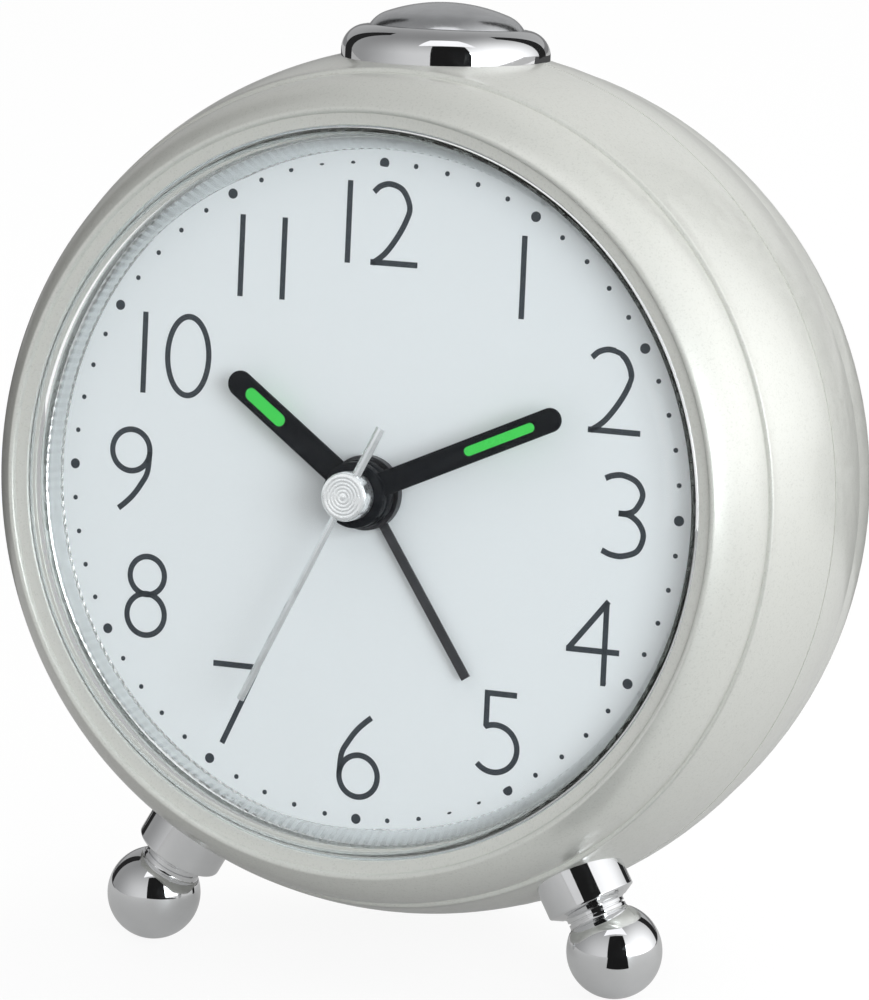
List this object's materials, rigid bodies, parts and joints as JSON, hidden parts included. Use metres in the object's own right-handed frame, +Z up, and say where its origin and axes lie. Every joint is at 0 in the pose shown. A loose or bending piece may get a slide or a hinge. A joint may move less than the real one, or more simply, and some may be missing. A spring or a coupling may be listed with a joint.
{
  "type": "table alarm clock",
  "caption": "Round drum table alarm clock with a domed front ring, clear domed crystal, leaning dial, chrome ball feet and a dome snooze button on top.",
  "frame": {"origin": "centre of the bounding box's bottom face, on the table under the clock", "axes": "+Z up, +X to the right seen from the front, -Y towards the front; the dial leans back 6.35 degrees"},
  "size_m": [0.0992, 0.0578, 0.1083],
  "materials": {
    "case_lacquer": "gloss pearl lacquer",
    "clear_acrylic": "clear",
    "ribbed_clear": "clear, finely ribbed",
    "dial_white": "satin white print",
    "chrome": "bright plated",
    "satin_chrome": "satin plated",
    "black_hand": "gloss black",
    "gunmetal": "satin grey",
    "silver_hand": "bright",
    "lume": "pale green luminous paint",
    "white_plastic": "moulded",
    "natural_plastic": "moulded, semi clear",
    "grey_plastic": "moulded",
    "black_plastic": "moulded",
    "knob_plastic": "moulded, fluted",
    "rubber": "matt",
    "steel": "zinc plated",
    "spring_steel": "bright wire",
    "soft_iron": "bright sheet",
    "nickel": "nickel plated sheet",
    "brass": "turned",
    "copper_wire": "enamelled wire",
    "board": "coated laminate",
    "battery_label": "printed film, blank",
    "red_wire": "insulation",
    "grey_wire": "insulation",
    "magnet": "sintered magnet"
  },
  "bodies": {
    "case": {"front_case": "case_lacquer", "rear_case": "case_lacquer", "crystal": "clear_acrylic", "reflector_ring": "ribbed_clear", "dial_plate": "dial_white", "inner_frame": "white_plastic", "frame_screws": "steel", "case_screws": "steel", "foot_left": "chrome", "foot_right": "chrome", "foot_screws": "steel", "rear_foot": "rubber", "button_collar": "chrome", "button_housing": "black_plastic", "button_spring": "spring_steel", "snooze_switch": "black_plastic", "battery": "battery_label", "battery_contact_plus": "nickel", "battery_spring_minus": "nickel", "battery_leads": "red_wire", "switch_leads": "grey_wire", "buzzer_leads": "red_wire", "alarm_leads": "grey_wire", "alarm_switch": "black_plastic", "buzzer_disc": "brass", "movement_front_plate": "grey_plastic", "movement_back_cover": "grey_plastic", "movement_screws": "steel", "train_bridge": "natural_plastic", "stator": "soft_iron", "coil_bobbin": "soft_iron", "coil_winding": "copper_wire", "circuit_board": "board", "quartz_crystal": "steel", "clock_chip": "black_plastic"},
    "button": {"button_cap": "satin_chrome"},
    "door": {"battery_door": "case_lacquer"},
    "slider": {"alarm_slider": "knob_plastic"},
    "time_knob": {"time_set_knob": "knob_plastic", "time_set_stem": "natural_plastic"},
    "alarm_knob": {"alarm_set_knob": "knob_plastic", "alarm_set_stem": "natural_plastic"},
    "alarm": {"alarm_wheel": "natural_plastic", "alarm_hand": "gunmetal"},
    "hour": {"hour_wheel": "natural_plastic", "hour_hand": "black_hand", "hour_lume": "lume"},
    "minute": {"cannon_pinion": "natural_plastic", "minute_hand": "black_hand", "minute_lume": "lume"},
    "minute_gear": {"minute_wheel": "natural_plastic"},
    "centre": {"centre_wheel": "natural_plastic"},
    "third": {"third_wheel": "natural_plastic"},
    "seconds": {"seconds_wheel": "natural_plastic", "seconds_shaft": "steel", "second_hand": "silver_hand", "second_cap": "silver_hand"},
    "fifth": {"fifth_wheel": "natural_plastic"},
    "motor": {"rotor": "natural_plastic", "rotor_magnet": "magnet"}
  },
  "joints": [
    {"name": "minute_spin", "type": "hinge", "parent": "case", "child": "minute", "pos_m": [0, -0.01701, 0.05579], "axis": [0, 0.9939, -0.1106], "continuous": true},
    {"name": "hour_spin", "type": "hinge", "parent": "case", "child": "hour", "pos_m": [0, -0.01701, 0.05579], "axis": [0, 0.9939, -0.1106], "continuous": true},
    {"name": "minute_wheel_spin", "type": "hinge", "parent": "case", "child": "minute_gear", "pos_m": [-0.0042, -0.01621, 0.06302], "axis": [0, 0.9939, -0.1106], "continuous": true},
    {"name": "time_knob_turn", "type": "hinge", "parent": "case", "child": "time_knob", "pos_m": [-0.01148, -0.01575, 0.0672], "axis": [0, 0.9939, -0.1106], "continuous": true},
    {"name": "alarm_spin", "type": "hinge", "parent": "case", "child": "alarm", "pos_m": [0, -0.01701, 0.05579], "axis": [0, 0.9939, -0.1106], "continuous": true},
    {"name": "alarm_knob_turn", "type": "hinge", "parent": "case", "child": "alarm_knob", "pos_m": [0.01145, -0.01575, 0.06718], "axis": [0, 0.9939, -0.1106], "continuous": true},
    {"name": "seconds_spin", "type": "hinge", "parent": "case", "child": "seconds", "pos_m": [0, -0.01701, 0.05579], "axis": [0, 0.9939, -0.1106], "continuous": true},
    {"name": "fifth_spin", "type": "hinge", "parent": "case", "child": "fifth", "pos_m": [-0.00805, -0.0165, 0.06041], "axis": [0, 0.9939, -0.1106], "continuous": true},
    {"name": "rotor_spin", "type": "hinge", "parent": "case", "child": "motor", "pos_m": [-0.01321, -0.0169, 0.05682], "axis": [0, 0.9939, -0.1106], "continuous": true},
    {"name": "third_spin", "type": "hinge", "parent": "case", "child": "third", "pos_m": [0.00579, -0.01778, 0.04894], "axis": [0, 0.9939, -0.1106], "continuous": true},
    {"name": "centre_spin", "type": "hinge", "parent": "case", "child": "centre", "pos_m": [0, -0.01701, 0.05579], "axis": [0, 0.9939, -0.1106], "continuous": true},
    {"name": "button_press", "type": "slide", "parent": "case", "child": "button", "axis": [0, -0.1106, -0.9939], "range_m": [0, 0.0012], "stiffness_N_per_m": 600, "springref_m": -0.002, "deforming": ["button_spring"]},
    {"name": "alarm_switch_slide", "type": "slide", "parent": "case", "child": "slider", "axis": [1, 0, 0], "range_m": [0, 0.003]},
    {"name": "door_off", "type": "slide", "parent": "case", "child": "door", "axis": [0, 0.9939, -0.1106], "range_m": [0, 0.02]}
  ],
  "couplings": [
    {"joint": "hour_spin", "follows": "minute_spin", "ratio": 0.083333},
    {"joint": "minute_wheel_spin", "follows": "minute_spin", "ratio": -0.33333},
    {"joint": "time_knob_turn", "follows": "minute_spin", "ratio": 1},
    {"joint": "alarm_knob_turn", "follows": "alarm_spin", "ratio": -5},
    {"joint": "fifth_spin", "follows": "seconds_spin", "ratio": -5},
    {"joint": "rotor_spin", "follows": "seconds_spin", "ratio": 30},
    {"joint": "third_spin", "follows": "seconds_spin", "ratio": -0.13333},
    {"joint": "centre_spin", "follows": "seconds_spin", "ratio": 0.016667}
  ]
}
